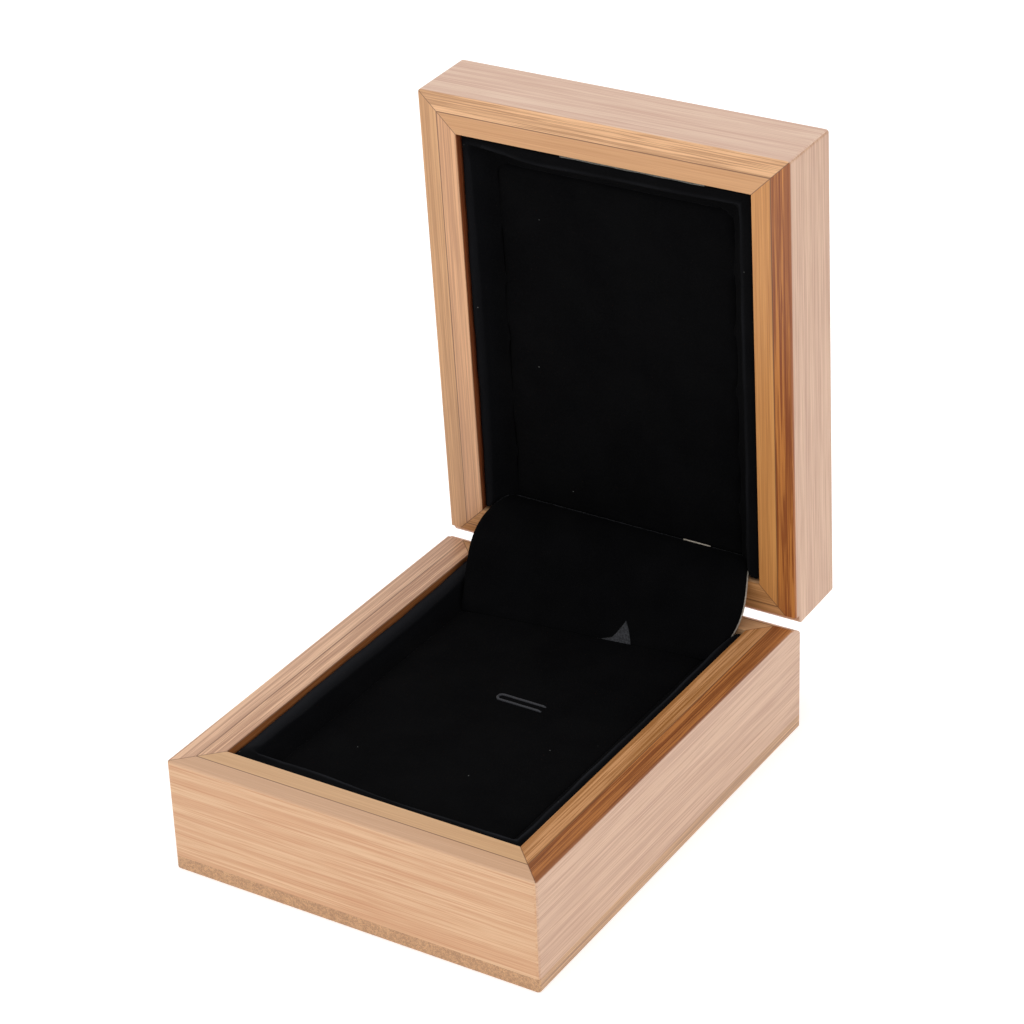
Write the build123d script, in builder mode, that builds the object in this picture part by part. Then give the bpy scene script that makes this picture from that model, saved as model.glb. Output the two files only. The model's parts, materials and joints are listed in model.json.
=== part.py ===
"""Hinged bamboo jewellery box, lid standing open, with dished velvet pads and a hidden snap hinge.

Millimetres. The origin is the middle of the underside, +Z is up and the hinge is at the back (+Y).
Each half is drawn on its own mating face: y runs to the hinge and depth runs into the half, so the
base and the lid share their functions, and the lid's face is simply turned about the hinge line.
"""

import os
from dataclasses import dataclass
from math import atan2, cos, degrees, hypot, radians, sin

from build123d import *

# Bamboo box
box_width = 80.0
box_depth = 100.0
base_height = 24.0
lid_height = 16.0
ply = 4.0
bottom_thickness = 3.0
top_thickness = 5.0
corner_radius = 0.7
rim_ease = 0.4
base_foot_ease = 0.4
lid_top_ease = 0.6

# Hinge line and travel
open_angle = 87.6
shut_gap = 0.1
pivot_y = 48.6
pivot_z = 24.8

# Relief along the hinge side, which lets the two halves turn past each other
base_relief_start = 46.2
base_relief_quirk = 0.6
base_relief_radius = 3.5
lid_relief_start = 47.6
lid_relief_quirk = 1.2
lid_relief_radius = 2.0

# Velvet border and pads
border_crown = 3.6
border_foot = 6.6
border_drop = 0.6
border_roll = 1.6
border_fold = 4.0
lining_card = 1.3
lining_gap = 0.1
base_field_depth = 5.0
lid_field_depth = 4.5
velvet = 1.3
pad_card = 1.5
pad_gap = 0.2
pad_rear = 40.0

# Elastic loop on the base pad
loop_cord = 0.6
loop_hole = 0.9
loop_spacing = 1.8
loop_closed_x = -1.9
loop_open_x = 8.4
loop_y = 4.7
loop_bend = 0.8
loop_tail = 2.4

# Hinge hardware
hinge_length = 34.0
leaf = 0.8
leaf_seat = 1.0
leaf_lift = 0.1
leaf_side = 0.05
leaf_drop = 10.0
leaf_end = 46.5
knuckles = 5
knuckle_radius = 1.6
knuckle_gap = 0.2
trough_radius = 2.0
pin_radius = 0.8
pin_clearance = 0.05
nail_radius = 0.6
nail_hole = 0.65
nail_length = 4.5
nail_head_radius = 1.5
nail_head = 0.4
nail_spacing = 22.0
nail_depth = 6.0
spring_width = 12.0
spring_strip = 0.4
spring_gap = 0.1
spring_bend = 3.0
spring_reach = 2.0
spring_tail = 9.0

# Flap over the hinge
flap_waist = 29.0
flap_end = 24.8
flap_taper = 8.0
flap_card = 0.5
flap_velvet = 0.8
flap_bend = 14.0
flap_foot_y = 33.0
flap_head_y = 39.2
flap_lift = 0.8
flap_corner = (40.2, 31.5)

half_width = box_width / 2
half_depth = box_depth / 2
inner_width = half_width - 2 * ply
inner_depth = half_depth - 2 * ply
beyond = 1.0


@dataclass
class Half:
    """One half of the box, with the sizes that differ between the base and the lid."""

    name: str
    face: Plane
    height: float
    panel: float
    far_ease: float
    relief_start: float
    quirk: float
    round_over: float
    field: float
    pivot_depth: float
    panel_inset: float

    @property
    def side(self):
        """Plane across the middle of the box: its axes are y and depth."""
        return Plane(origin=self.face.origin, x_dir=self.face.y_dir, z_dir=self.face.x_dir)

    @property
    def floor(self):
        """Depth of the inner face of the panel."""
        return self.height - self.panel

    def point(self, y, depth):
        """Place of a point of this half in the box's own y and z."""
        place = self.face.from_local_coords((0, y, depth))
        return (place.Y, place.Z)


turn = radians(-open_angle)
shut_y = -pivot_y
shut_z = base_height + shut_gap - pivot_z
lid_face_origin = (
    0,
    pivot_y + shut_y * cos(turn) - shut_z * sin(turn),
    pivot_z + shut_y * sin(turn) + shut_z * cos(turn),
)

base = Half(
    name="base",
    face=Plane(origin=(0, 0, base_height), x_dir=(-1, 0, 0), z_dir=(0, 0, -1)),
    height=base_height,
    panel=bottom_thickness,
    far_ease=base_foot_ease,
    relief_start=base_relief_start,
    quirk=base_relief_quirk,
    round_over=base_relief_radius,
    field=base_field_depth,
    pivot_depth=base_height - pivot_z,
    panel_inset=0.0,
)
lid = Half(
    name="lid",
    face=Plane(origin=lid_face_origin, x_dir=(1, 0, 0), z_dir=(0, -sin(turn), cos(turn))),
    height=lid_height,
    panel=top_thickness,
    far_ease=lid_top_ease,
    relief_start=lid_relief_start,
    quirk=lid_relief_quirk,
    round_over=lid_relief_radius,
    field=lid_field_depth,
    pivot_depth=pivot_z - base_height - shut_gap,
    panel_inset=ply,
)


def finish(piece, name):
    """Label a finished piece and write its file."""
    piece.part.label = name
    export_step(piece.part, f"parts/{name}.step")


# ---- Bamboo shell -------------------------------------------------------------------------------


def relief(half):
    """Wood taken off the hinge edge: a small quirk, then a round-over to the back face."""
    centre_y = half_depth - half.round_over
    centre_depth = half.quirk + half.round_over
    slant = half.round_over * cos(radians(45))
    with BuildPart() as cutter:
        with BuildSketch(half.side):
            with BuildLine():
                Polyline(
                    (half_depth + beyond, centre_depth),
                    (half_depth + beyond, -beyond),
                    (half.relief_start, -beyond),
                    (half.relief_start, half.quirk),
                    (centre_y, half.quirk),
                )
                ThreePointArc(
                    (centre_y, half.quirk),
                    (centre_y + slant, centre_depth - slant),
                    (half_depth, centre_depth),
                )
                Line((half_depth, centre_depth), (half_depth + beyond, centre_depth))
            make_face()
        extrude(amount=half_width + beyond, both=True)
    return cutter.part


def outer_shape(half):
    """Whole outline of a half, with eased edges and the hinge-side relief."""
    into = Axis(half.face.origin, half.face.z_dir)
    hinge_side = relief(half)
    with BuildPart() as shape:
        with BuildSketch(half.face):
            RectangleRounded(box_width, box_depth, corner_radius)
        extrude(amount=half.height)
        fillet(shape.faces().sort_by(into)[-1].edges(), radius=half.far_ease)
        fillet(shape.faces().sort_by(into)[0].edges(), radius=rim_ease)
        add(hinge_side, mode=Mode.SUBTRACT)
    return shape.part


def hinge_room(half):
    """Room in the back wall for a hinge leaf, its nails and the knuckles."""
    with BuildPart() as cutter:
        with BuildSketch(half.side):
            with Locations(((inner_depth + pivot_y) / 2, 0)):
                Rectangle(pivot_y - inner_depth, 2 * leaf_seat)
            with Locations((inner_depth, leaf_drop / 2)):
                Rectangle(2 * leaf_seat, leaf_drop + leaf_seat)
            with Locations((pivot_y, half.pivot_depth)):
                Circle(trough_radius)
        extrude(amount=hinge_length / 2 + knuckle_gap, both=True)
        with BuildSketch(half.side.offset(-nail_spacing / 2), half.side.offset(nail_spacing / 2)):
            with Locations((inner_depth, nail_depth)):
                Rectangle(2 * (nail_length + beyond), 2 * nail_hole)
        extrude(amount=nail_hole, both=True)
    return cutter.part


def strip_plan(side, inset, width):
    """Corners of a mitred strip seen from above, inset from the outer faces."""
    far_x = half_width - inset
    far_y = half_depth - inset
    near_x = far_x - width
    near_y = far_y - width
    plans = {
        "front": [(-far_x, -far_y), (far_x, -far_y), (near_x, -near_y), (-near_x, -near_y)],
        "back": [(-far_x, far_y), (-near_x, near_y), (near_x, near_y), (far_x, far_y)],
        "minus": [(-far_x, -far_y), (-near_x, -near_y), (-near_x, near_y), (-far_x, far_y)],
        "plus": [(far_x, -far_y), (far_x, far_y), (near_x, near_y), (near_x, -near_y)],
    }
    return plans[side]


def shell(half):
    """Outer and inner plies of the four walls, mitred at the corners, and the panel that closes it.

    The base stands on a full panel under its walls; the lid's panel is let in between its outer plies.
    """
    shape = outer_shape(half)
    room = hinge_room(half)
    right_is_plus = half.face.x_dir.X > 0
    sides = {
        "front": "front",
        "back": "back",
        "left": "minus" if right_is_plus else "plus",
        "right": "plus" if right_is_plus else "minus",
    }
    wall_height = half.height if half.panel_inset else half.floor
    for layer, inset, height in (("wall", 0.0, wall_height), ("liner", ply, half.floor)):
        for side, plan in sides.items():
            with BuildPart() as strip:
                with BuildSketch(half.face):
                    Polygon(*strip_plan(plan, inset, ply), align=None)
                extrude(amount=height)
                add(shape, mode=Mode.INTERSECT)
                if side == "back":
                    add(room, mode=Mode.SUBTRACT)
            finish(strip, f"{half.name}_{layer}_{side}")

    with BuildPart() as panel:
        with BuildSketch(half.face.offset(half.floor)):
            Rectangle(box_width - 2 * half.panel_inset, box_depth - 2 * half.panel_inset)
        extrude(amount=half.panel)
        add(shape, mode=Mode.INTERSECT)
    finish(panel, "base_bottom_panel" if half is base else "lid_top_panel")


# ---- Padding ------------------------------------------------------------------------------------


def inner_plan(inset):
    """Plan of the space inside the walls, up to a distance from the wood at the front and the sides."""
    rear = inner_depth - lining_gap
    front = inset - inner_depth
    with Locations((0, (rear + front) / 2)):
        Rectangle(2 * (inner_width - inset), rear - front)


def opening_plan(inset):
    """Plan of the open middle of a border, which runs on past the ends of the border."""
    rear = inner_depth + border_foot
    front = inset - inner_depth
    with Locations((0, (rear + front) / 2)):
        Rectangle(2 * (inner_width - inset), rear - front)


def lining(half):
    """Card strip against the walls, and the padded velvet border that folds over it and slopes inwards."""
    with BuildPart() as card:
        with BuildSketch(half.face.offset(border_fold)):
            inner_plan(lining_gap)
        extrude(amount=half.floor - border_fold)
        with BuildSketch(half.face.offset(border_fold)):
            opening_plan(lining_gap + lining_card)
        extrude(amount=half.floor - border_fold, mode=Mode.SUBTRACT)
    finish(card, f"{half.name}_border_card")

    slope = degrees(atan2(border_foot - border_crown, half.field - border_drop))
    with BuildPart() as border:
        with BuildSketch(half.face.offset(border_drop)):
            inner_plan(lining_gap)
        extrude(amount=border_fold - border_drop)
        with BuildSketch(half.face.offset(border_fold)):
            inner_plan(lining_gap + lining_card)
        extrude(amount=half.floor - border_fold)
        with BuildSketch(half.face.offset(border_drop)):
            opening_plan(border_crown)
        extrude(amount=half.field - border_drop, taper=slope, mode=Mode.SUBTRACT)
        with BuildSketch(half.face.offset(half.field)):
            opening_plan(border_foot)
        extrude(amount=half.floor - half.field, mode=Mode.SUBTRACT)
        top = border.faces().sort_by(Axis(half.face.origin, half.face.z_dir))[0]
        ends = top.edges().filter_by(GeomType.LINE).sort_by(Axis(half.face.origin, half.face.y_dir))
        fillet([edge for edge in top.edges() if edge not in ends[-2:]], radius=border_roll)
    finish(border, f"{half.name}_border")


def pad(half):
    """Flat pad inside the border: velvet face on a card board, over a block of foam."""
    width = 2 * (inner_width - border_foot - pad_gap)
    front = border_foot + pad_gap - inner_depth
    layers = (
        ("pad_velvet", half.field, velvet),
        ("pad_board", half.field + velvet, pad_card),
        ("pad_foam", half.field + velvet + pad_card, half.floor - half.field - velvet - pad_card),
    )
    for layer, depth, thickness in layers:
        with BuildPart() as sheet:
            with BuildSketch(half.face.offset(depth)):
                with Locations((0, (front + pad_rear) / 2)):
                    Rectangle(width, pad_rear - front)
            extrude(amount=thickness)
            if half is base and layer != "pad_foam":
                with BuildSketch(Plane.XY.offset(base_height - depth)):
                    with Locations((loop_open_x, loop_y)):
                        with GridLocations(0, loop_spacing, 1, 2):
                            Circle(loop_hole / 2)
                extrude(amount=-thickness, mode=Mode.SUBTRACT)
        finish(sheet, f"{half.name}_{layer}")


def elastic_loop():
    """Hairpin of thin elastic that lies on the velvet, its two ends passing down into the pad."""
    level = base_height - base_field_depth + loop_cord / 2
    slant = loop_bend * cos(radians(45))
    inner_x = loop_closed_x + loop_spacing / 2
    near = loop_y - loop_spacing / 2
    far = loop_y + loop_spacing / 2
    with BuildPart() as loop:
        with BuildLine() as route:
            for y in (near, far):
                Line((loop_open_x, y, level - loop_tail), (loop_open_x, y, level - loop_bend))
                ThreePointArc(
                    (loop_open_x, y, level - loop_bend),
                    (loop_open_x - loop_bend + slant, y, level - loop_bend + slant),
                    (loop_open_x - loop_bend, y, level),
                )
                Line((loop_open_x - loop_bend, y, level), (inner_x, y, level))
            ThreePointArc((inner_x, near, level), (loop_closed_x, loop_y, level), (inner_x, far, level))
        with BuildSketch(Plane.XY.offset(level - loop_tail)):
            with Locations((loop_open_x, near)):
                Circle(loop_cord / 2)
        sweep(path=route.wire())
    finish(loop, "pad_loop")


# ---- Hinge --------------------------------------------------------------------------------------


def knuckle_spans(half):
    """Start and length along x of each knuckle of a half; the base has the two outer ones."""
    pitch = hinge_length / knuckles
    first = 0 if half is base else 1
    starts = [-hinge_length / 2 + number * pitch for number in range(first, knuckles, 2)]
    return [(start + knuckle_gap / 2, pitch - knuckle_gap) for start in starts]


def hinge_leaf(half):
    """Bent steel leaf: one flange on the back wall's edge, one inside it, and rolled knuckles."""
    near = inner_depth + leaf_side
    with BuildPart() as plate:
        with BuildSketch(half.side):
            with BuildLine():
                Polyline(
                    (near, leaf_lift),
                    (leaf_end, leaf_lift),
                    (leaf_end, leaf_lift + leaf),
                    (near + leaf, leaf_lift + leaf),
                    (near + leaf, leaf_drop),
                    (near, leaf_drop),
                    close=True,
                )
            make_face()
        extrude(amount=hinge_length / 2, both=True)
        with BuildSketch(half.side.offset(-nail_spacing / 2), half.side.offset(nail_spacing / 2)):
            with Locations((near + leaf / 2, nail_depth)):
                Rectangle(2 * leaf, 2 * nail_hole)
        extrude(amount=nail_hole, both=True, mode=Mode.SUBTRACT)
        for start, length in knuckle_spans(half):
            with BuildSketch(half.side.offset(start)):
                with Locations((pivot_y, half.pivot_depth)):
                    Circle(knuckle_radius)
                with Locations(((leaf_end + pivot_y) / 2, leaf_lift + leaf / 2)):
                    Rectangle(pivot_y - leaf_end, leaf)
            extrude(amount=length)
        with BuildSketch(half.side.offset(-hinge_length)):
            with Locations((pivot_y, half.pivot_depth)):
                Circle(pin_radius + pin_clearance)
        extrude(amount=2 * hinge_length, mode=Mode.SUBTRACT)
    finish(plate, f"{half.name}_hinge_leaf")


def leaf_nails(half):
    """Two flat-headed nails that hold a leaf to the inside of the back wall."""
    head_face = inner_depth + leaf_side - nail_head
    with BuildPart() as nails:
        for x in (-nail_spacing / 2, nail_spacing / 2):
            seat = half.face.from_local_coords((x, head_face, nail_depth))
            level = Plane(origin=seat, x_dir=half.face.x_dir, z_dir=half.face.y_dir)
            with BuildSketch(level):
                Circle(nail_head_radius)
            extrude(amount=nail_head)
            with BuildSketch(level.offset(nail_head)):
                Circle(nail_radius)
            extrude(amount=nail_length)
    finish(nails, f"{half.name}_hinge_nails")


def hinge_pin():
    """Steel pin through all the knuckles, on the hinge line."""
    with BuildPart() as pin:
        with BuildSketch(Plane.YZ.offset(-hinge_length / 2)):
            with Locations((pivot_y, pivot_z)):
                Circle(pin_radius)
        extrude(amount=hinge_length)
    finish(pin, "hinge_pin")


def snap_spring():
    """Bowed strip of spring steel from leaf to leaf, which snaps the lid open or shut."""
    away = inner_depth + leaf_side - spring_gap - spring_strip
    route = (
        base.point(away, spring_tail),
        base.point(away, -spring_reach),
        lid.point(away, -spring_reach),
        lid.point(away, spring_tail),
    )
    with BuildPart() as spring:
        with BuildSketch(Plane.YZ):
            with BuildLine():
                FilletPolyline(*route, radius=spring_bend)
                offset(amount=spring_strip, side=Side.RIGHT)
            make_face()
        extrude(amount=spring_width / 2, both=True)
    finish(spring, "hinge_spring")


def flap():
    """Flap over the hinge: card with velvet on the inner side, narrower where it meets the borders."""
    route = (
        base.point(flap_foot_y, base_field_depth - flap_lift),
        flap_corner,
        lid.point(flap_head_y, lid_field_depth - flap_lift),
    )
    foot, head = route[0], route[-1]
    reach = hypot(head[0] - foot[0], head[1] - foot[1])
    facing = Plane(
        origin=(0, *foot), x_dir=(1, 0, 0), z_dir=(0, foot[1] - head[1], head[0] - foot[0])
    )
    half_outline = (
        (flap_end, -beyond),
        (flap_waist, flap_taper),
        (flap_waist, reach - flap_taper),
        (flap_end, reach + beyond),
    )
    outline = [*half_outline, *((-x, along) for x, along in reversed(half_outline))]
    layers = (("flap_velvet", flap_velvet, Side.LEFT), ("flap_card", flap_card, Side.RIGHT))
    for layer, thickness, side in layers:
        with BuildPart() as sheet:
            with BuildSketch(Plane.YZ):
                with BuildLine():
                    FilletPolyline(*route, radius=flap_bend)
                    offset(amount=thickness, side=side)
                make_face()
            extrude(amount=flap_waist, both=True)
            with BuildSketch(facing):
                Polygon(*outline, align=None)
            extrude(amount=reach, both=True, mode=Mode.INTERSECT)
        finish(sheet, layer)


os.makedirs("parts", exist_ok=True)
for box_half in (base, lid):
    shell(box_half)
    lining(box_half)
    pad(box_half)
    hinge_leaf(box_half)
    leaf_nails(box_half)
elastic_loop()
hinge_pin()
snap_spring()
flap()
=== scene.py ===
"""A small hinged bamboo box for jewellery, standing open, lined with black velvet over dished pads."""

import json
import math

import bmesh
import bpy
import numpy as np
from mathutils import Matrix, Vector


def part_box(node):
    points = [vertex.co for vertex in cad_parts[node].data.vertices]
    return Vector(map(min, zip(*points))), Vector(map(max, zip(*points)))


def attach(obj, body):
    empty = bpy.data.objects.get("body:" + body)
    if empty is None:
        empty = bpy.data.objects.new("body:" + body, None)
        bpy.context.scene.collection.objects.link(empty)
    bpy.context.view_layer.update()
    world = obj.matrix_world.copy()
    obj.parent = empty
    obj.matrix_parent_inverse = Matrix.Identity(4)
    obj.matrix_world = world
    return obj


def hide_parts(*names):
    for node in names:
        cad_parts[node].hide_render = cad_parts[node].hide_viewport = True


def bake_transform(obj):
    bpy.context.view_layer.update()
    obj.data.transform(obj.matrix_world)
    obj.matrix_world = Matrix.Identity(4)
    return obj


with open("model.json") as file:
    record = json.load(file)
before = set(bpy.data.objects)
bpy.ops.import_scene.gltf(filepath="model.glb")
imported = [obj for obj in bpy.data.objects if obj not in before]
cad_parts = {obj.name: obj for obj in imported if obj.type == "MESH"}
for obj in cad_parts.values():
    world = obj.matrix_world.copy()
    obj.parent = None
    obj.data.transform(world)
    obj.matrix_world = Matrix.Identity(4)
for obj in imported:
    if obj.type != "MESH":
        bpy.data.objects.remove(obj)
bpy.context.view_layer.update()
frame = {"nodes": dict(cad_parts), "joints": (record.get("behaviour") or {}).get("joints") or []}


# ---- Bamboo shell -------------------------------------------------------------------------------
# Two plies of laminated bamboo make each wall, mitred at the corners and glued face to face. The base
# stands on a thin bamboo panel and the lid is closed by a thicker one. Everything has a satin lacquer.

MM = 0.001
SHUT_GAP = 0.1  # the two mating faces stay this far apart when the box is shut
base_top = round(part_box("base_liner_left")[1].z / MM, 1)
lid_hinge = frame["joints"][0]
pivot = Vector(lid_hinge["pos_m"])
open_turn = -math.radians(lid_hinge["range_deg"][1])
lid_face = (
    Matrix.Translation(pivot)
    @ Matrix.Rotation(open_turn, 4, "X")
    @ Matrix.Translation(Vector((0, 0, (base_top + SHUT_GAP) * MM)) - pivot)
)
base_face = Matrix.Translation((0, 0, base_top * MM)) @ Matrix.Diagonal((1, 1, -1, 1))
faces = {"base": base_face, "lid": lid_face}
half_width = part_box("base_wall_left")[0].x / -MM
half_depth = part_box("base_wall_front")[0].y / -MM
PLY = 4.0


def linear(colour):
    """Linear RGBA of an sRGB hex colour."""
    parts = [int(colour[i : i + 2], 16) / 255 for i in (0, 2, 4)]
    return [p / 12.92 if p < 0.04045 else ((p + 0.055) / 1.055) ** 2.4 for p in parts] + [1.0]


def add(tree, kind, links=None, **settings):
    """Add a node with its settings; links gives each input a value, an output or a whole node."""
    made = tree.nodes.new(kind)
    for name, value in settings.items():
        setattr(made, name, value)
    for socket, value in (links or {}).items():
        if isinstance(value, bpy.types.Node):
            value = next(output for output in value.outputs if output.enabled)
        if isinstance(value, bpy.types.NodeSocket):
            tree.links.new(value, made.inputs[socket])
        else:
            made.inputs[socket].default_value = value
    return made


def material(name, **shader):
    """A new material with its Principled shader's plain values; returns it, its tree and its shader."""
    made = bpy.data.materials.new(name)
    made.use_nodes = True
    surface = made.node_tree.nodes["Principled BSDF"]
    for socket, value in shader.items():
        surface.inputs[socket.replace("_", " ")].default_value = value
    return made, made.node_tree, surface


def half_coordinates(tree, half):
    """Millimetres on the half's own mating face: x across, y to the hinge, z into the wood."""
    scale = (MM, MM, -MM) if half == "base" else (MM, MM, MM)
    turn = (0, 0, 0) if half == "base" else (open_turn, 0, 0)
    place = add(tree, "ShaderNodeTexCoord")
    return add(
        tree,
        "ShaderNodeMapping",
        {
            "Vector": place.outputs["Object"],
            "Location": faces[half].translation,
            "Rotation": turn,
            "Scale": scale,
        },
        vector_type="TEXTURE",
    ).outputs[0]


GLUE_LINE = 0.16
RIM_DEPTH = (0.12, 0.42)


def bamboo(
    name, half, grain, outside, streak, rim, rim_streak, rim_contrast=0.5, line=None, shift=0.0, fine=1.0
):
    """Laminated bamboo: long fibre bundles show as fine streaks along the grain and dots across it.

    A ply's rim shows the sawn edges of its strips, which take another tone than its face.
    """
    made, tree, surface = material(
        name, Roughness=0.42, Coat_Weight=0.35, Coat_Roughness=0.24, Specular_IOR_Level=0.4
    )
    place = half_coordinates(tree, half)
    split = add(tree, "ShaderNodeSeparateXYZ", {0: place})
    x, y, depth = split.outputs
    on_rim = add(
        tree,
        "ShaderNodeMapRange",
        {0: depth, 1: RIM_DEPTH[0], 2: RIM_DEPTH[1], 3: 1.0, 4: 0.0},
        interpolation_type="SMOOTHSTEP",
    )
    colour, dark = (
        add(tree, "ShaderNodeMix", {0: on_rim, 6: linear(face), 7: linear(edge)}, data_type="RGBA")
        for face, edge in ((outside, rim), (streak, rim_streak))
    )
    contrast = add(tree, "ShaderNodeMapRange", {0: on_rim, 3: 0.75, 4: rim_contrast})

    # Broad streaks, slow drifts of tone, fibres and the ends of fibre bundles: each has its width and
    # length in mm, its detail, the two values it fades between and its strength.
    patterns = (
        ("ShaderNodeTexNoise", 1.1, 90.0, {"Detail": 5.0, "Roughness": 0.7}, 0.46, 0.57, 0.65),
        ("ShaderNodeTexNoise", 6.0, 270.0, {"Detail": 1.0, "Roughness": 0.65}, 0.35, 0.65, 0.2),
        ("ShaderNodeTexNoise", 0.24, 24.0, {"Detail": 2.0, "Roughness": 0.65}, 0.5, 0.59, 0.8),
        ("ShaderNodeTexVoronoi", 0.75, 60.0, {}, 0.32, 0.16, 0.9),
    )
    figures = []
    for number, (kind, width, length, detail, low, high, strength) in enumerate(patterns):
        across = 1 / (width * fine)
        scale = (1 / length, across, across) if grain == "x" else (across, 1 / length, across)
        seed = shift + 3.1 * (number + 1)
        scaled = add(tree, "ShaderNodeVectorMath", {0: place, 1: scale}, operation="MULTIPLY")
        moved = add(tree, "ShaderNodeVectorMath", {0: scaled, 1: (seed, seed, seed)}, operation="ADD")
        figure = add(tree, kind, {"Vector": moved, "Scale": 1.0, **detail})
        shown = add(
            tree,
            "ShaderNodeMapRange",
            {0: figure, 1: low, 2: high, 3: 0.0, 4: strength},
            interpolation_type="SMOOTHSTEP",
        )
        amount = add(tree, "ShaderNodeMath", {0: shown, 1: contrast}, operation="MULTIPLY")
        colour = add(tree, "ShaderNodeMix", {0: amount, 6: colour, 7: dark}, data_type="RGBA")
        figures.append(figure)
    fibres = figures[2]
    pale = add(tree, "ShaderNodeMapRange", {0: fibres, 1: 0.45, 2: 0.34, 3: 0.0, 4: 0.3})
    colour = add(
        tree,
        "ShaderNodeMix",
        {0: pale, 6: colour, 7: (1.25, 1.27, 1.3, 1.0)},
        data_type="RGBA",
        blend_type="MULTIPLY",
    )

    if line:  # the glue line between the plies and the mitre at each corner
        edges = []
        for spot, reach in ((x, half_width), (y, half_depth)):
            from_middle = add(tree, "ShaderNodeMath", {0: spot}, operation="ABSOLUTE")
            edges.append(add(tree, "ShaderNodeMath", {0: reach, 1: from_middle}, operation="SUBTRACT"))
        gaps = []
        for a, b in ((edges[1] if grain == "x" else edges[0], PLY), edges):
            gap = add(tree, "ShaderNodeMath", {0: a, 1: b}, operation="SUBTRACT")
            gaps.append(add(tree, "ShaderNodeMath", {0: gap}, operation="ABSOLUTE"))
        nearest = add(tree, "ShaderNodeMath", {0: gaps[0], 1: gaps[1]}, operation="MINIMUM")
        glue = add(
            tree, "ShaderNodeMapRange", {0: nearest, 1: 0.3 * GLUE_LINE, 2: GLUE_LINE, 3: 0.85, 4: 0.0}
        )
        amount = add(tree, "ShaderNodeMath", {0: glue, 1: on_rim}, operation="MULTIPLY")
        colour = add(tree, "ShaderNodeMix", {0: amount, 6: colour, 7: linear(line)}, data_type="RGBA")

    rough = add(tree, "ShaderNodeMapRange", {0: fibres, 1: 0.3, 2: 0.7, 3: 0.36, 4: 0.5})
    relief = add(tree, "ShaderNodeBump", {"Strength": 0.35, "Distance": 0.05 * MM, "Height": fibres})
    tree.links.new(colour.outputs[2], surface.inputs["Base Color"])
    tree.links.new(rough.outputs[0], surface.inputs["Roughness"])
    tree.links.new(relief.outputs[0], surface.inputs["Normal"])
    return made


# Tones that several plies share, each with its darker streaks.
LIGHT = "E2B388"
LIGHT_STREAK = "C8895C"
TAN = "D2A67B"
TAN_STREAK = "B98A63"
GOLD = "CB9560"
GOLD_STREAK = "A5703F"
DARK_GLUE = "6B452C"

# Each ply: its grain, its face and streaks, its rim and streaks, and how strong those are on the rim.
plies = {
    "base_wall_front": ("x", "DCB38B", "C3895F", "D0A684", "BC8D68", 0.25),
    "base_wall_back": ("x", LIGHT, LIGHT_STREAK, TAN, TAN_STREAK, 0.5),
    "base_wall_left": ("y", LIGHT, LIGHT_STREAK, "E5BA98", "B88C72", 0.8),
    # The right wall's face is paler and pinker than the other walls: painted reflection of the white
    # surround laid over the bamboo's own tone.
    "base_wall_right": ("y", "D5AD8E", "B68A6F", "B8763F", "7C421C", 1.1),
    "base_liner_front": ("x", TAN, TAN_STREAK, "D3A87C", TAN_STREAK, 0.25),
    "base_liner_back": ("x", TAN, TAN_STREAK, TAN, TAN_STREAK, 0.5),
    "base_liner_left": ("y", "B5703E", "8A5026", "ECC09B", "B18367", 1.0),
    "base_liner_right": ("y", GOLD, GOLD_STREAK, "CF9766", "99632F", 1.0),
    "lid_wall_front": ("x", "E4C4AC", "CEA48F", "E9B585", "B38257", 1.0),
    "lid_wall_back": ("x", LIGHT, LIGHT_STREAK, GOLD, GOLD_STREAK, 0.7),
    "lid_wall_left": ("y", LIGHT, LIGHT_STREAK, "D6A271", "B07E53", 0.7),
    # The right wall's face is paler and pinker than the other walls: painted reflection of the white
    # surround laid over the bamboo's own tone.
    "lid_wall_right": ("y", "D3AA8B", "B5876C", "C07A3A", "84421A", 1.1),
    "lid_liner_front": ("x", TAN, TAN_STREAK, "CF9A69", "BB8252", 0.3),
    "lid_liner_back": ("x", TAN, TAN_STREAK, GOLD, GOLD_STREAK, 0.7),
    "lid_liner_left": ("y", "8C4A28", "6B3218", "E1AA7C", "B88560", 0.7),
    "lid_liner_right": ("y", GOLD, GOLD_STREAK, "CE9051", "B0723A", 0.6),
}
for count, (name, looks) in enumerate(plies.items()):
    half = name.split("_")[0]
    wood = bamboo("bamboo_" + name, half, *looks, line=DARK_GLUE, shift=7.0 * count)
    frame["nodes"][name].material_slots[0].material = wood

base_panel = bamboo(
    "bamboo_base_panel", "base", "y", "D3A375", "8A6040", TAN, TAN_STREAK, shift=40.0, fine=0.45
)
lid_panel = bamboo("bamboo_lid_panel", "lid", "y", LIGHT, LIGHT_STREAK, TAN, TAN_STREAK, shift=55.0)
frame["nodes"]["base_bottom_panel"].material_slots[0].material = base_panel
frame["nodes"]["lid_top_panel"].material_slots[0].material = lid_panel


# ---- Velvet borders -----------------------------------------------------------------------------
# A padded roll of black velvet folded over a card strip, round the front and both sides of each half.
# The pile swallows light face on and shows a grey sheen where it turns away. A painted sheen along the crown
# of each roll and painted light on the rolls lighten the velvet further.

inner_width = half_width - 2 * PLY
inner_depth = half_depth - 2 * PLY
BORDER_GAP = 0.12
BORDER_FOOT = 8.0
BORDER_SKIRT = 6.6
BORDER_REAR = 0.2
ROLL_WIDTH = 3.35
PAD_LAP = 0.8


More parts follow.
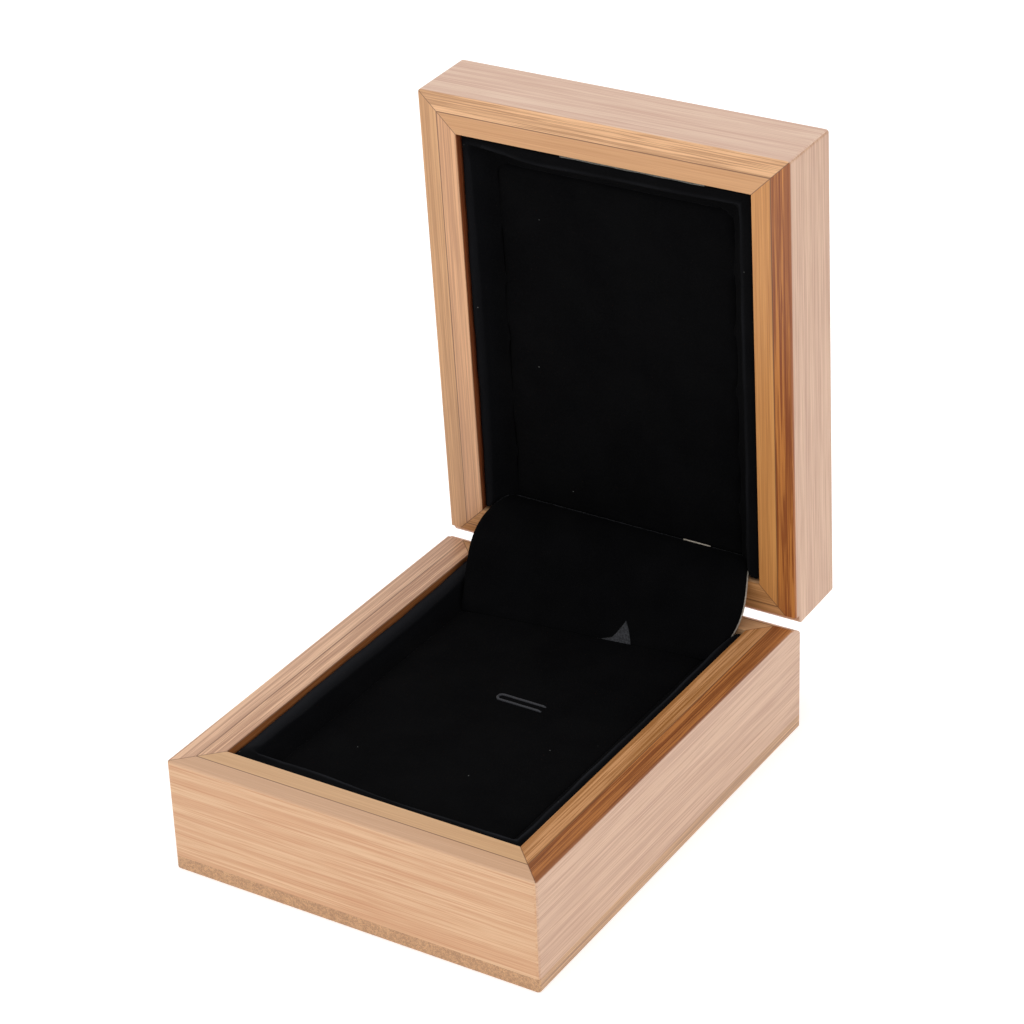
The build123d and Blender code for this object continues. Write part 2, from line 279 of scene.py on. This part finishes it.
def velvet(name, half):
    """Short-pile black cotton velvet: matt, with a faint sheen, uneven nap and a little pale lint; on the
    borders a painted sheen and painted light lighten it towards grey.
    """
    made, tree, surface = material(
        name,
        Roughness=0.9,
        Specular_IOR_Level=0.05,
        Sheen_Weight=0.09,
        Sheen_Roughness=0.13,
        Sheen_Tint=linear("B4B6BE"),
    )
    place = half_coordinates(tree, half)
    nap = add(tree, "ShaderNodeTexNoise", {"Vector": place, "Scale": 0.12, "Detail": 3.0})
    pile = add(tree, "ShaderNodeTexNoise", {"Vector": place, "Scale": 2.4, "Detail": 2.0})
    shade = add(tree, "ShaderNodeMapRange", {0: nap, 1: 0.35, 2: 0.65, 3: 0.0, 4: 1.0})
    tuft = add(tree, "ShaderNodeMapRange", {0: pile, 1: 0.45, 2: 0.75, 3: 0.0, 4: 0.35})
    # Painted sheen and painted light: each border point's value mixes the velvet towards the grey 26272B.
    sheen_and_light = add(tree, "ShaderNodeAttribute", attribute_name="painted_sheen_and_light").outputs["Fac"]
    lint = add(tree, "ShaderNodeTexVoronoi", {"Vector": place, "Scale": 0.17, "Randomness": 1.0})
    speck = add(tree, "ShaderNodeMapRange", {0: lint, 1: 0.012, 2: 0.024, 3: 0.5, 4: 0.0})
    colour = linear("030304")
    for amount, tone in ((shade, "060607"), (tuft, "09090B"), (sheen_and_light, "26272B"), (speck, "8C8E8A")):
        colour = add(tree, "ShaderNodeMix", {0: amount, 6: colour, 7: linear(tone)}, data_type="RGBA")
    bump = add(tree, "ShaderNodeBump", {"Strength": 0.5, "Distance": 0.12 * MM, "Height": pile})
    tree.links.new(colour.outputs[2], surface.inputs["Base Color"])
    tree.links.new(bump.outputs[0], surface.inputs["Normal"])
    return made


black_velvet = {half: velvet(f"{half}_black_velvet", half) for half in faces}


def half_box(half, *nodes):
    """Low and high corners of some CAD nodes, in millimetres on the half's own mating face."""
    inverse = faces[half].inverted()
    spots = []
    for node in nodes:
        piece = frame["nodes"][node]
        spots += [inverse @ (piece.matrix_world @ v.co) / MM for v in piece.data.vertices]
    return [Vector([pick(p[i] for p in spots) for i in range(3)]) for pick in (min, max)]


def grid_mesh(name, rows, closed=False, capped=False):
    """A mesh from rows of points in millimetres; closed joins each row's ends, capped fills the end rows."""
    points = np.asarray(rows, float) * MM
    count, width = points.shape[:2]
    quads = []
    for i in range(count - 1):
        for j in range(width if closed else width - 1):
            k = (j + 1) % width
            quads.append((i * width + j, i * width + k, (i + 1) * width + k, (i + 1) * width + j))
    if capped:
        quads.append(tuple(range(width))[::-1])
        quads.append(tuple((count - 1) * width + j for j in range(width)))
    mesh = bpy.data.meshes.new(name)
    mesh.from_pydata(points.reshape(-1, 3).tolist(), [], quads)
    tidy = bmesh.new()
    tidy.from_mesh(mesh)
    bmesh.ops.recalc_face_normals(tidy, faces=tidy.faces)
    tidy.to_mesh(mesh)
    tidy.free()
    for polygon in mesh.polygons:
        polygon.use_smooth = True
    made = bpy.data.objects.new(name, mesh)
    bpy.context.scene.collection.objects.link(made)
    return made


def on_half(half, x, y, depth):
    """A point of a half, in millimetres of the row frame."""
    return faces[half] @ (Vector((x, y, depth)) * MM) / MM


def evaluated_mesh(piece):
    """The piece's mesh with its modifiers applied."""
    graph = bpy.context.evaluated_depsgraph_get()
    return bpy.data.meshes.new_from_object(piece.evaluated_get(graph))


def bake_modifiers(piece):
    """Put the modifiers' result into the mesh and take them off."""
    shaped = evaluated_mesh(piece)
    piece.modifiers.clear()
    piece.data = shaped
    return piece


CLOTH_SCALE = 10  # times larger while the cloth runs
CLOTH_FRAMES = 20


def puff(piece, voxel, most, held):
    """Let the filling press the cloth out: a short cloth run under pressure, at ten times the size.

    held(point) says how much of a move each point may make, from 0 to 1.
    """
    remesh = piece.modifiers.new("even", "REMESH")
    remesh.mode = "VOXEL"
    remesh.voxel_size = voxel * MM
    bake_modifiers(piece)
    piece.data.transform(Matrix.Scale(CLOTH_SCALE, 4))
    start = np.array([v.co for v in piece.data.vertices])
    cloth = piece.modifiers.new("filling", "CLOTH")
    cloth.settings.use_pressure = True
    cloth.settings.uniform_pressure_force = 4
    cloth.settings.effector_weights.gravity = 0
    cloth.point_cache.frame_end = CLOTH_FRAMES
    for number in range(1, CLOTH_FRAMES + 1):
        bpy.context.scene.frame_set(number)
    end = np.array([v.co for v in evaluated_mesh(piece).vertices])
    bpy.context.scene.frame_set(1)
    piece.modifiers.clear()
    move = end - start
    size = np.linalg.norm(move, axis=1)
    unit = CLOTH_SCALE * MM
    limit = most * unit * np.array([held(Vector(p) / unit) for p in start])
    move *= (limit / np.maximum(size, limit + 1e-9))[:, None]
    piece.data.vertices.foreach_set("co", (start + move).ravel())
    piece.data.transform(Matrix.Scale(1 / CLOTH_SCALE, 4))
    smooth = piece.modifiers.new("soft", "SUBSURF")
    smooth.levels = 1
    smooth.render_levels = 1
    bake_modifiers(piece)
    for polygon in piece.data.polygons:
        polygon.use_smooth = True


def border_profile(lean, field):
    """Roll in section: distance from the wood and depth, up the wood, over the crown and down inside."""
    fall = (field - 0.9) / 4.1
    return [
        (BORDER_GAP, BORDER_FOOT),
        (BORDER_GAP, 1.5),
        (BORDER_GAP + 0.05, 1.05),
        (0.4, 0.8),
        (0.9, 0.68),
        (1.7 * lean, 0.64),
        (2.4 * lean, 0.64),
        (2.95 * lean, 0.8),
        (ROLL_WIDTH * lean, 1.15),
        (3.3 * lean + 0.35, 0.9 + 0.85 * fall),
        (3.0 * lean + 1.05, 0.9 + 1.65 * fall),
        (2.4 * lean + 2.1, 0.9 + 2.6 * fall),
        (1.6 * lean + 3.5, 0.9 + 3.45 * fall),
        (0.8 * lean + 4.95, 0.9 + 3.95 * fall),
        (BORDER_SKIRT + 0.3, field + 0.12),
        (BORDER_SKIRT - PAD_LAP, field + 0.4),
        (BORDER_SKIRT - PAD_LAP, BORDER_FOOT),
    ]


def border_stations(per_side=46, per_corner=9):
    """Places along the border, from the left rear round the front to the right rear."""
    side = [("left", i / per_side) for i in range(per_side)]
    side += [("left_corner", i / per_corner) for i in range(per_corner)]
    side += [("front", i / per_side) for i in range(per_side)]
    side += [("right_corner", i / per_corner) for i in range(per_corner)]
    side += [("right", i / per_side) for i in range(per_side + 1)]
    return side


def border_place(part, along, inset):
    """Plan of the border at one station: x and y of a line that stays inset from the wood."""
    reach_x = inner_width - inset
    reach_y = inner_depth - inset
    radius = 0.5 + 0.3 * inset
    rear = inner_depth - BORDER_REAR
    turn = along * math.pi / 2
    if part == "left":
        return -reach_x, rear + (radius - reach_y - rear) * along
    if part == "left_corner":
        return radius * (1 - math.cos(turn)) - reach_x, radius * (1 - math.sin(turn)) - reach_y
    if part == "front":
        return (radius - reach_x) * (1 - 2 * along), -reach_y
    if part == "right_corner":
        return reach_x - radius * (1 - math.sin(turn)), radius * (1 - math.cos(turn)) - reach_y
    return reach_x, radius - reach_y + (rear + reach_y - radius) * along


def fade(value, low, high):
    """0 below low, 1 above high and smooth between."""
    t = min(1.0, max(0.0, (value - low) / (high - low)))
    return t * t * (3 - 2 * t)


def narrowing(half, x):
    """How wide the roll is at x, as a share of its full width.

    The base's roll thins to the right. The lid's is thin along its left and thins a little to the right.
    """
    if half == "base":
        return 1.0 - 0.3 * fade(x, -22.0, 22.0)
    return 0.55 + 0.45 * fade(x, -31.0, -14.0) - 0.12 * fade(x, 0.0, 28.0)


def painted_sheen_and_light(half, x, y, depth):
    """Painted sheen and painted light at a point of a border, 0 to 1, which lightens the velvet towards
    grey.

    Painted light fades in from the wood along the left roll, a painted sheen runs in a line over the crown
    of the others, and a faint painted light lies on the outer part of every roll.
    """
    from_left = inner_width + x
    from_right = inner_width - x
    from_front = inner_depth + y
    inset = min(from_left, from_right, from_front)
    lean = narrowing(half, x)
    # Painted sheen: a line over the crown of each roll, stronger in the base.
    ridge_sheen = math.exp(-(((inset - ROLL_WIDTH * lean) / 0.42) ** 2)) * fade(depth, 3.2, 2.0)
    ridge_sheen *= (0.7 if half == "base" else 0.3) * (0.8 + 0.2 * math.sin(0.35 * x + 0.2 * y))
    # Painted light fading in from the wood along the left roll, stronger in the base.
    strength = 0.55 if half == "base" else 0.2
    left_roll_light = strength * fade(from_left, 6.5, 0.5) ** 1.5 * fade(from_front, 1.0, 6.0)
    # Faint painted light on the outer part of every roll, near the wood.
    outer_roll_light = 0.05 * fade(inset, 3.2, 1.5)
    return min(1.0, max(ridge_sheen if from_left > 5.0 else 0.25 * ridge_sheen, left_roll_light) + outer_roll_light)


def border(half):
    """The padded roll of one half, on its card strip."""
    rows = []
    field = half_box(half, f"{half}_pad_velvet")[0].z
    for part, along in border_stations():
        lean = narrowing(half, border_place(part, along, 3.0)[0])
        row = []
        for inset, depth in border_profile(lean, field):
            x, y = border_place(part, along, inset)
            sag = 0.12 * math.sin(0.21 * x + 0.13 * y) + 0.06 * math.sin(0.5 * y)
            row.append(on_half(half, x, y, depth + (sag if depth < 3 else 0.0)))
        rows.append(row)
    made = grid_mesh(f"{half}_velvet_border", rows, closed=True, capped=True)
    inverse = faces[half].inverted()

    def free(point):
        depth = (inverse @ (Vector(point) * MM)).z / MM
        return min(1.0, max(0.0, (2.6 - depth) / 1.5))

    puff(made, 0.55, 0.35, free)
    # Store the painted sheen and painted light of each point of the border.
    shading = made.data.attributes.new("painted_sheen_and_light", "FLOAT", "POINT")
    for vertex in made.data.vertices:
        shading.data[vertex.index].value = painted_sheen_and_light(half, *(inverse @ vertex.co / MM))
    made.data.materials.clear()
    made.data.materials.append(black_velvet[half])
    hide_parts(f"{half}_border")
    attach(made, half)


for half in faces:
    border(half)


# ---- Velvet pads --------------------------------------------------------------------------------
# The floor of each half is a card board with a thin wadding, wrapped in the same velvet and dropped in
# between the borders. It sits on a block of foam.

PAD_EDGE = 0.2
PAD_CLEARANCE = 0.05


def pad(half):
    """One wrapped board, crowned a little by its wadding."""
    inverse = faces[half].inverted()
    low, high = half_box(half, f"{half}_pad_velvet", f"{half}_pad_board")
    width = inner_width - BORDER_SKIRT + PAD_LAP - PAD_CLEARANCE
    near = BORDER_SKIRT - PAD_LAP + PAD_CLEARANCE - inner_depth
    far, top, bottom = high.y, low.z, high.z
    rows = []
    steps = [(0.0, bottom), (0.0, top + PAD_EDGE)]
    steps += [
        (PAD_EDGE * (1 - math.cos(t)), top + PAD_EDGE * (1 - math.sin(t)))
        for t in np.linspace(0, math.pi / 2, 6)[1:]
    ]
    steps += [(PAD_EDGE + (width - 1.5) * t, top) for t in (0.06, 0.15, 0.3, 0.5, 0.75, 1.0)]
    for inset, depth in steps:
        ring = []
        wide, tall = width - inset, (far - near) / 2 - inset
        for number in range(96):
            t = number / 96 * 4
            edge, part = int(t), t - int(t)
            spot = [(2 * part - 1, -1), (1, 2 * part - 1), (1 - 2 * part, 1), (-1, 1 - 2 * part)][edge]
            ring.append(on_half(half, spot[0] * wide, (near + far) / 2 + spot[1] * tall, depth))
        rows.append(ring)
    made = grid_mesh(f"{half}_velvet_pad", rows, closed=True, capped=True)

    def free(point):
        depth = (inverse @ (Vector(point) * MM)).z / MM
        return 1.0 if depth < top + 0.6 else 0.0

    puff(made, 0.9, 0.25, free)
    made.data.materials.clear()
    made.data.materials.append(black_velvet[half])
    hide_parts(f"{half}_pad_velvet", f"{half}_pad_board")
    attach(made, half)


for half in faces:
    pad(half)


# ---- Card and foam under the velvet -------------------------------------------------------------
# Strips of grey board stiffen the borders and a block of polyether foam carries each pad. In the lid
# the velvet stops short at the middle of the front border, and the raw card shows as a thin line.


def card(name, half, colour, fibre):
    """Grey board: pulp with darker and lighter fibres, dull on its cut edges."""
    made, tree, surface = material(name, Roughness=0.85, Specular_IOR_Level=0.3)
    place = half_coordinates(tree, half)
    pulp = add(tree, "ShaderNodeTexNoise", {"Vector": place, "Scale": 3.0, "Detail": 4.0})
    flecks = add(tree, "ShaderNodeMapRange", {0: pulp, 1: 0.35, 2: 0.7, 3: 0.0, 4: 1.0})
    tone = add(tree, "ShaderNodeMix", {0: flecks, 6: linear(colour), 7: linear(fibre)}, data_type="RGBA")
    bump = add(tree, "ShaderNodeBump", {"Strength": 0.4, "Distance": 0.05 * MM, "Height": pulp})
    tree.links.new(tone.outputs[2], surface.inputs["Base Color"])
    tree.links.new(bump.outputs[0], surface.inputs["Normal"])
    return made


grey_card = {half: card(f"{half}_grey_board", half, "B5AC9F", "8E857A") for half in faces}
foam = {half: card(f"{half}_polyether_foam", half, "C9C3B4", "A9A292") for half in faces}
for half in faces:
    frame["nodes"][f"{half}_border_card"].material_slots[0].material = grey_card[half]
    frame["nodes"][f"{half}_pad_foam"].material_slots[0].material = foam[half]


RAW_EDGE = (-9.0, 22.0)
RAW_DEPTH = 0.55
raw_section = ((0.3, 0.25), (0.3, 0.0), (0.6, 0.0), (0.6, 0.25))
raw_rows = []
for x in np.linspace(*RAW_EDGE, 63):
    torn = RAW_DEPTH + 0.08 * math.sin(0.9 * x)
    raw_rows.append([on_half("lid", x, inset - inner_depth, torn + drop) for inset, drop in raw_section])
raw_edge = grid_mesh("lid_raw_card_edge", raw_rows, closed=True, capped=True)
raw_edge.data.materials.append(card("lid_raw_card", "lid", "55534E", "7A7972"))
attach(raw_edge, "lid")


# ---- Flap over the hinge ------------------------------------------------------------------------
# A strip of thin card faced with velvet covers the hinge. Its foot rests on the base pad and its head is
# tucked over the lid pad. The card shows as a pale line at the cut edge.

FLAP_VELVET = 0.4
FLAP_CARD = 0.45
CARD_ACROSS = (0.03, 1.003)  # the card stands out past the velvet on the right, and is short of it elsewhere
CARD_UP = (0.06, 0.9)
flap_left = [(-25.8, 28.9, 19.1), (-28.0, 36.4, 25.6), (-32.4, 40.6, 32.6), (-27.4, 52.1, 34.3)]
flap_right = [(27.0, 35.2, 19.1), (32.0, 44.0, 23.4), (31.4, 41.7, 31.4), (27.4, 52.1, 34.1)]


def bezier(points, t):
    """Point at t on the cubic curve with these four control points."""
    weights = ((1 - t) ** 3, 3 * t * (1 - t) ** 2, 3 * t * t * (1 - t), t**3)
    return sum((Vector(p) * w for p, w in zip(points, weights)), Vector())


def flap_point(u, t):
    """The flap's glued face: u runs from the left edge to the right one, t from foot to head."""
    spot = bezier(flap_left, t).lerp(bezier(flap_right, t), u)
    swell = math.sin(math.pi * u) * math.sin(math.pi * t)
    spot.y -= 0.5 * swell + 0.18 * math.sin(9.0 * u + 2.0 * t) * math.sin(math.pi * t)
    spot.z += 0.3 * swell
    return spot


def flap_normal(u, t):
    """Direction from the card to the velvet at a point of the flap."""
    step = 0.01
    across = flap_point(min(1, u + step), t) - flap_point(max(0, u - step), t)
    up = flap_point(u, min(1, t + step)) - flap_point(u, max(0, t - step))
    return across.cross(up).normalized()


def thinned(t):
    """The velvet is pressed thin along the foot and the head of the flap, where it is glued down."""
    return FLAP_VELVET * min(1.0, 0.1 + t / 0.05, 0.1 + (1 - t) / 0.07)


def flap_layer(name, spots, near, far):
    """A sheet on the flap: rows of (u, t) spots, between two distances from the glued face."""
    rows = []
    for row in spots:
        front = [flap_point(u, t) + flap_normal(u, t) * far(t) for u, t in row]
        back = [flap_point(u, t) + flap_normal(u, t) * near(t) for u, t in reversed(row)]
        rows.append(front + back)
    return grid_mesh(name, rows, closed=True, capped=True)


def flap_spots(us, ts):
    """Rows of (u, t) spots over a rectangle of the flap."""
    return [[(u, t) for u in us] for t in ts]


def tab_row(height):
    """One row of the grey tab that carries a painted highlight: straight on the right, hollow on the upper
    left, wavy along its top.
    """
    row = []
    for s in np.linspace(0, 1, 29):
        foot = Vector((0.56 + 0.135 * s, 0.004))
        top = Vector((0.56 + 0.07 * s**0.5, 0.004 + (0.17 + 0.012 * math.sin(40 * s)) * s**3.4))
        row.append(tuple(foot.lerp(top, height)))
    return row


flap_velvet = flap_layer(
    "flap_velvet_face", flap_spots(np.linspace(0, 1, 61), np.linspace(0, 1, 61)), lambda t: 0.0, thinned
)
flap_card = flap_layer(
    "flap_card_back",
    flap_spots(np.linspace(*CARD_ACROSS, 59), np.linspace(*CARD_UP, 39)),
    lambda t: -FLAP_CARD,
    lambda t: 0.0,
)
# A thin grey sheet on the flap's face near its foot: a painted highlight of the velvet.
flap_tab = flap_layer(
    "flap_highlight_tab",
    [tab_row(height) for height in np.linspace(0, 1, 15)],
    lambda t: thinned(t) - 0.05,
    lambda t: thinned(t) + 0.08,
)
cut_section = ((-0.5, 0.2), (-0.6, 0.5), (-0.4, 0.5), (-0.3, 0.2))
cut_rows = [
    [flap_point(u, 1.0) + Vector((0, y, z)) for y, z in cut_section] for u in np.linspace(0.735, 0.845, 12)
]
flap_cut = grid_mesh("flap_cut_end", cut_rows, closed=True, capped=True)
painted_highlight_cloth = card("grey_painted_highlight", "base", "1B1B1E", "3C3D41")  # painted highlight: a sheet of lighter grey laid on the velvet where it catches light
for piece, finish, slot, node in (
    (flap_velvet, black_velvet["base"], "black_velvet", "flap_velvet"),
    (flap_card, grey_card["base"], "grey_card", "flap_card"),
    (flap_tab, painted_highlight_cloth, "grey_card", None),
    (flap_cut, grey_card["base"], "grey_card", None),
):
    piece.data.materials.append(finish)
    if node:
        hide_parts(node)
    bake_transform(piece)


# ---- Elastic loop -------------------------------------------------------------------------------
# A hairpin of thin braided elastic lies on the base pad and holds a pendant. Both ends pass down
# through the velvet into the pad.

CORD = 0.6
loop_low, loop_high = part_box("pad_loop")
loop_x = (loop_low.x / MM, loop_high.x / MM)
loop_y = (loop_low.y / MM + CORD / 2, loop_high.y / MM - CORD / 2)
loop_level = loop_high.z / MM - CORD / 2
LOOP_BEND = 0.8
LOOP_ROOT = 1.2  # how far each end goes down into the pad


def loop_route():
    """Centre line of the hairpin, one end to the other, every quarter of a millimetre or so."""
    near, far = loop_y
    middle, radius = (near + far) / 2, (far - near) / 2
    drop = loop_level - LOOP_ROOT
    end_x = loop_x[1] - CORD / 2
    turn_x = loop_x[0] + CORD / 2 + radius
    leg = [Vector((end_x, near, drop))]
    for t in np.linspace(0, math.pi / 2, 6):
        back, down = LOOP_BEND * (1 - math.cos(t)), LOOP_BEND * (1 - math.sin(t))
        leg.append(Vector((end_x - back, near, loop_level - down)))
    for x in np.linspace(end_x - LOOP_BEND, turn_x, 40)[1:]:
        leg.append(Vector((x, near, loop_level)))
    closed_end = [
        Vector((turn_x - radius * math.sin(t), middle - radius * math.cos(t), loop_level))
        for t in np.linspace(0, math.pi, 17)[1:-1]
    ]
    other = [Vector((p.x, far, p.z)) for p in reversed(leg)]
    return leg + closed_end + other


def braided(name, route, radius):
    """A round cord whose braid stands out as small crossing ridges."""
    rows = []
    travelled = 0.0
    side = Vector((0, 0, 1))
    for i, spot in enumerate(route):
        ahead = route[min(i + 1, len(route) - 1)]
        behind = route[max(i - 1, 0)]
        along = (ahead - behind).normalized()
        travelled += (spot - behind).length
        across = along.cross(side if abs(along.z) < 0.9 else Vector((0, 1, 0))).normalized()
        up = across.cross(along)
        row = []
        for number in range(16):
            turn = number / 16 * 2 * math.pi
            ridge = math.sin(4 * turn + 7 * travelled) * math.sin(4 * turn - 7 * travelled)
            outward = across * math.cos(turn) + up * math.sin(turn)
            row.append(spot + outward * radius * (0.95 + 0.05 * ridge))
        rows.append(row)
    return grid_mesh(name, rows, closed=True, capped=True)


# Rubber threads in a polyester braid: dull black, with a slight sheen where the threads cross.
elastic, elastic_tree, elastic_surface = material(
    "braided_elastic", Roughness=0.6, Specular_IOR_Level=0.4, Sheen_Weight=0.2, Sheen_Roughness=0.4
)
strands = add(
    elastic_tree,
    "ShaderNodeTexWave",
    {"Vector": half_coordinates(elastic_tree, "base"), "Scale": 1.6, "Distortion": 1.5},
    bands_direction="DIAGONAL",
)
strand_tone = add(
    elastic_tree,
    "ShaderNodeMix",
    {0: strands, 6: linear("1B1B1F"), 7: linear("2E2F36")},
    data_type="RGBA",
)
elastic_tree.links.new(strand_tone.outputs[2], elastic_surface.inputs["Base Color"])
pad_loop = braided("elastic_loop", loop_route(), 0.45 * CORD)
pad_loop.data.materials.append(elastic)
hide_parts("pad_loop")
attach(pad_loop, "base")


# ---- Hinge --------------------------------------------------------------------------------------
# Two bright nickel-plated steel leaves with rolled knuckles on a pin, nailed inside the back walls, and
# a bowed strip of blued spring steel between them that snaps the lid open or shut.


def plated(name, half, colour, rough):
    """Bright plated steel: fine rolling lines along the strip, duller and darker along some of them."""
    made, tree, surface = material(name, Metallic=1.0)
    place = half_coordinates(tree, half)
    drawn = add(tree, "ShaderNodeVectorMath", {0: place, 1: (0.3, 9.0, 9.0)}, operation="MULTIPLY")
    lines = add(tree, "ShaderNodeTexNoise", {"Vector": drawn, "Scale": 1.0, "Detail": 3.0})
    gloss = add(tree, "ShaderNodeMapRange", {0: lines, 1: 0.3, 2: 0.7, 3: rough, 4: rough + 0.18})
    tone = add(tree, "ShaderNodeMix", {0: lines, 6: linear(colour), 7: linear("8E8C88")}, data_type="RGBA")
    bump = add(tree, "ShaderNodeBump", {"Strength": 0.2, "Distance": 0.02 * MM, "Height": lines})
    tree.links.new(tone.outputs[2], surface.inputs["Base Color"])
    tree.links.new(gloss.outputs[0], surface.inputs["Roughness"])
    tree.links.new(bump.outputs[0], surface.inputs["Normal"])
    return made


for half in faces:
    nickel = plated(f"{half}_nickel_plated_steel", half, "C9C5BD", 0.22)
    frame["nodes"][f"{half}_hinge_leaf"].material_slots[0].material = nickel
    frame["nodes"][f"{half}_hinge_nails"].material_slots[0].material = nickel
    if half == "base":
        frame["nodes"]["hinge_pin"].material_slots[0].material = nickel

SPRING = 0.4
SPRING_TAIL = 9.0
SPRING_BOW = -2.5
SPRING_STEPS = 16
spring_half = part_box("hinge_spring")[1].x / MM
spring_y = inner_depth - 0.25
spring_ends = (("base", SPRING_TAIL), ("base", SPRING_BOW), ("lid", SPRING_BOW), ("lid", SPRING_TAIL))
spring_line = [on_half(half, 0, spring_y, depth) for half, depth in spring_ends]
spring_path = [bezier(spring_line, i / SPRING_STEPS) for i in range(SPRING_STEPS + 1)]
rows = []
for i, spot in enumerate(spring_path):
    ahead = spring_path[min(i + 1, SPRING_STEPS)]
    behind = spring_path[max(i - 1, 0)]
    along = (ahead - behind).normalized()
    normal = Vector((1, 0, 0)).cross(along).normalized() * SPRING / 2
    side = Vector((spring_half, 0, 0))
    rows.append([spot - side - normal, spot + side - normal, spot + side + normal, spot - side + normal])
spring = grid_mesh("snap_spring", rows, closed=True, capped=True)
for polygon in spring.data.polygons:
    polygon.use_smooth = False
spring.data.materials.append(plated("blued_spring_steel", "base", "6F727C", 0.28))
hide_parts("hinge_spring")
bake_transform(spring)


# ---- Floor, light and camera --------------------------------------------------------------------
# A plain white sweep, a large soft key from the left front, a weaker fill and a white surround.

FLOOR = 6.0
floor_corners = [(-FLOOR, -FLOOR, 0), (FLOOR, -FLOOR, 0), (FLOOR, FLOOR, 0), (-FLOOR, FLOOR, 0)]
floor_mesh = bpy.data.meshes.new("floor")
floor_mesh.from_pydata(floor_corners, [], [(0, 1, 2, 3)])
floor = bpy.data.objects.new("floor", floor_mesh)
bpy.context.scene.collection.objects.link(floor)
white_sweep = material(
    "white_sweep",
    Base_Color=(0.8, 0.8, 0.8, 1.0),
    Roughness=0.9,
    Emission_Color=(1.0, 1.0, 1.0, 1.0),
    Emission_Strength=0.5,
)[0]
floor.data.materials.append(white_sweep)

world = bpy.data.worlds.new("studio")
bpy.context.scene.world = world
world.use_nodes = True
surround = world.node_tree.nodes["Background"]
surround.inputs["Color"].default_value = (0.98, 0.99, 1.0, 1.0)
surround.inputs["Strength"].default_value = 0.58

# Name, place, size in metres, power in watts and colour of each lamp.
lights = (
    ("key", (-0.75, -0.75, 0.95), 0.9, 4.0, (1.0, 0.97, 0.93)),
    ("fill", (0.9, -0.5, 0.7), 0.9, 2.5, (0.97, 0.98, 1.0)),
    ("top", (0.0, 0.2, 1.2), 0.8, 3.5, (1.0, 1.0, 1.0)),
)
for name, place, size, power, colour in lights:
    lamp = bpy.data.lights.new(name, "AREA")
    lamp.shape = "DISK"
    lamp.size = size
    lamp.energy = power
    lamp.color = colour
    light = bpy.data.objects.new(name, lamp)
    light.location = place
    light.rotation_euler = (Vector((0, 0, 0.05)) - Vector(place)).to_track_quat("-Z", "Y").to_euler()
    bpy.context.scene.collection.objects.link(light)

camera = bpy.data.objects.new("camera", bpy.data.cameras.new("camera"))
camera.data.lens = 114.21
camera.data.sensor_width = 36.0
camera.location = (0.28894, -0.43843, 0.35154)
camera.rotation_euler = (math.radians(61.13), math.radians(2.03), math.radians(31.72))
bpy.context.scene.collection.objects.link(camera)
bpy.context.scene.camera = camera
bpy.context.scene.view_settings.view_transform = "Standard"
